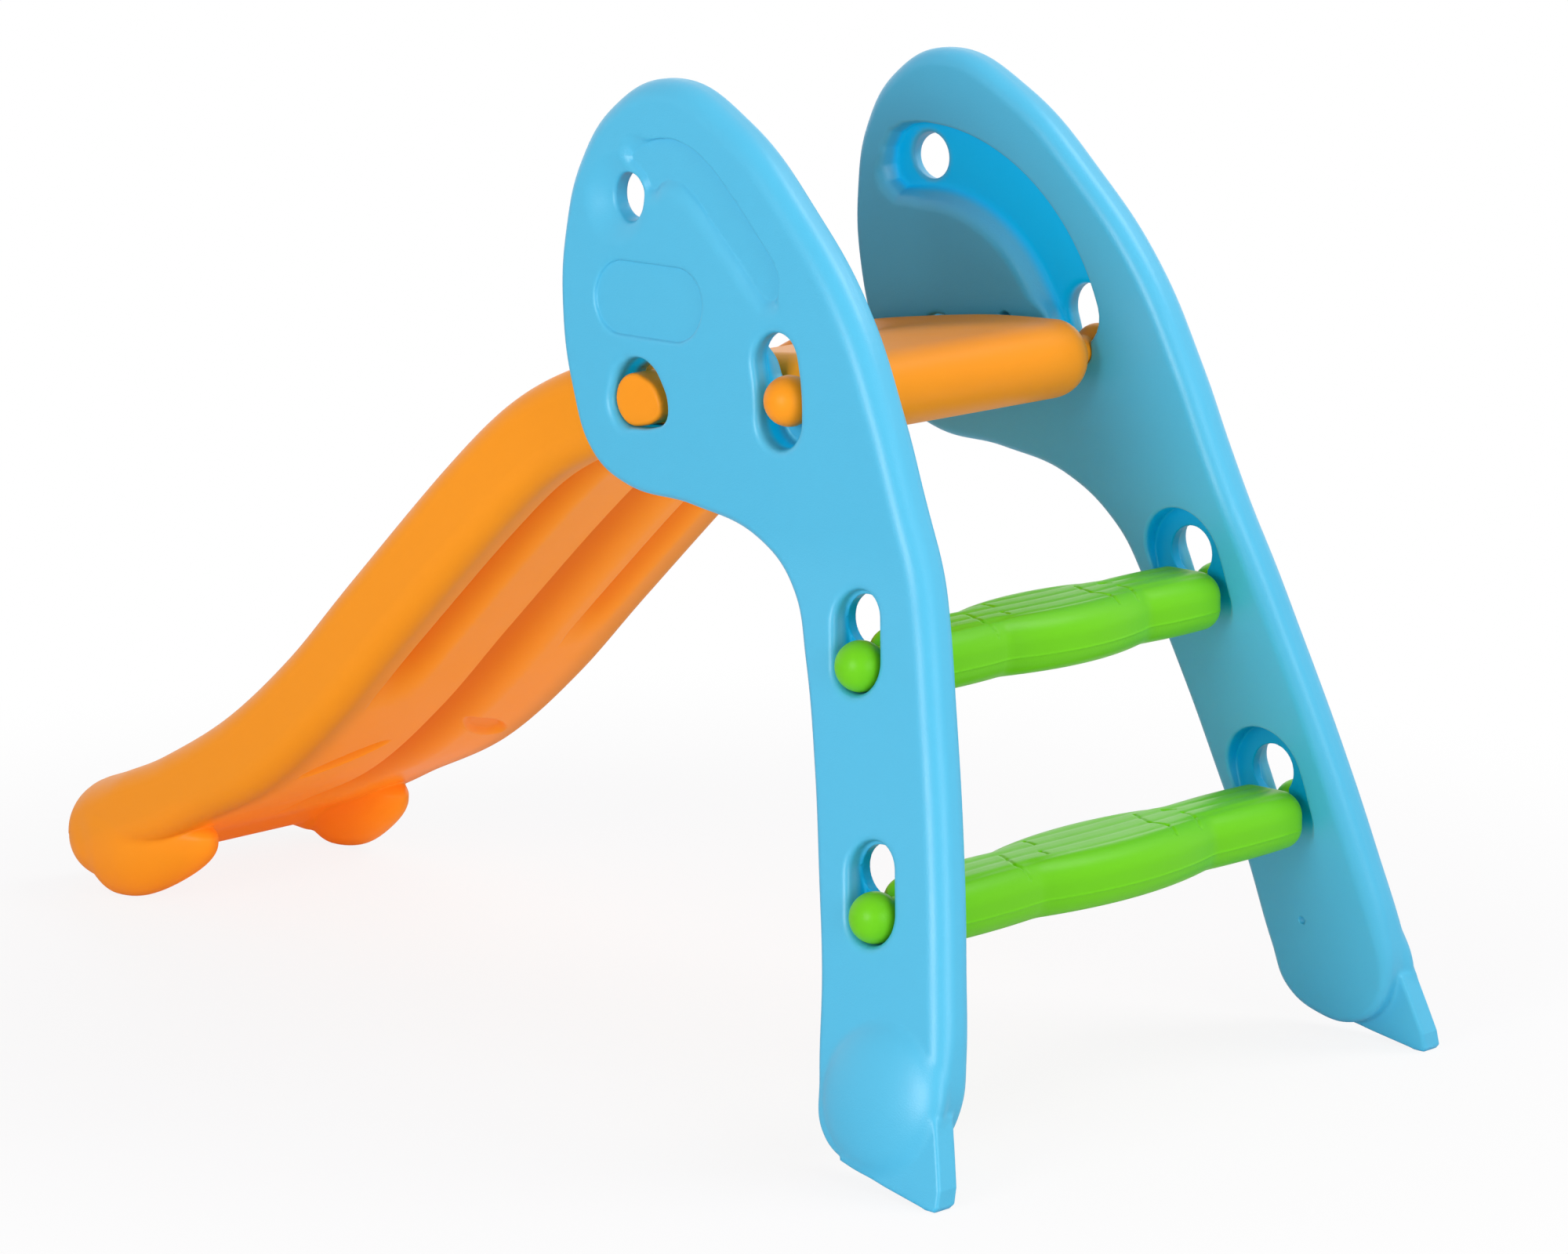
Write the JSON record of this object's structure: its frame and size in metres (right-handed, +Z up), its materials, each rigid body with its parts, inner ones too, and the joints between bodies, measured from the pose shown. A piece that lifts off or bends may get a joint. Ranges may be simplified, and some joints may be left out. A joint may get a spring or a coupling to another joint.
{
  "type": "kids slide",
  "caption": "Small folding indoor slide for toddlers: chute with platform, side panels with hand holes, and clip-in steps, blow-moulded plastic.",
  "frame": {"origin": "floor level under the middle of the bounding box, on the plane of symmetry", "axes": "+X along the slide towards the steps, so the chute's exit is at -X; +Z up; +Y across, with side_panel_left at +Y"},
  "size_m": [1.081, 0.5328, 0.7],
  "materials": {
    "panel_plastic": "satin sky-blue polyethylene with a fine moulded grain",
    "chute_plastic": "satin orange polyethylene, smooth",
    "step_plastic": "satin lime-green polyethylene with moulded plank grain on the treads"
  },
  "bodies": {
    "frame": {"side_panel_left": "panel_plastic", "side_panel_right": "panel_plastic"},
    "slide": {"chute": "chute_plastic"},
    "upper_tread": {"upper_step": "step_plastic"},
    "lower_tread": {"lower_step": "step_plastic"}
  },
  "joints": [
    {"name": "chute_hinge", "type": "hinge", "parent": "frame", "child": "slide", "pos_m": [0.1622, 0, 0.4787], "axis": [0, -1, 0], "range_deg": [0, 10.5]},
    {"name": "upper_step_lift", "type": "slide", "parent": "frame", "child": "upper_tread", "axis": [-0.225, 0, 0.9744], "range_m": [0, 0.028]},
    {"name": "lower_step_lift", "type": "slide", "parent": "frame", "child": "lower_tread", "axis": [-0.225, 0, 0.9744], "range_m": [0, 0.028]}
  ]
}
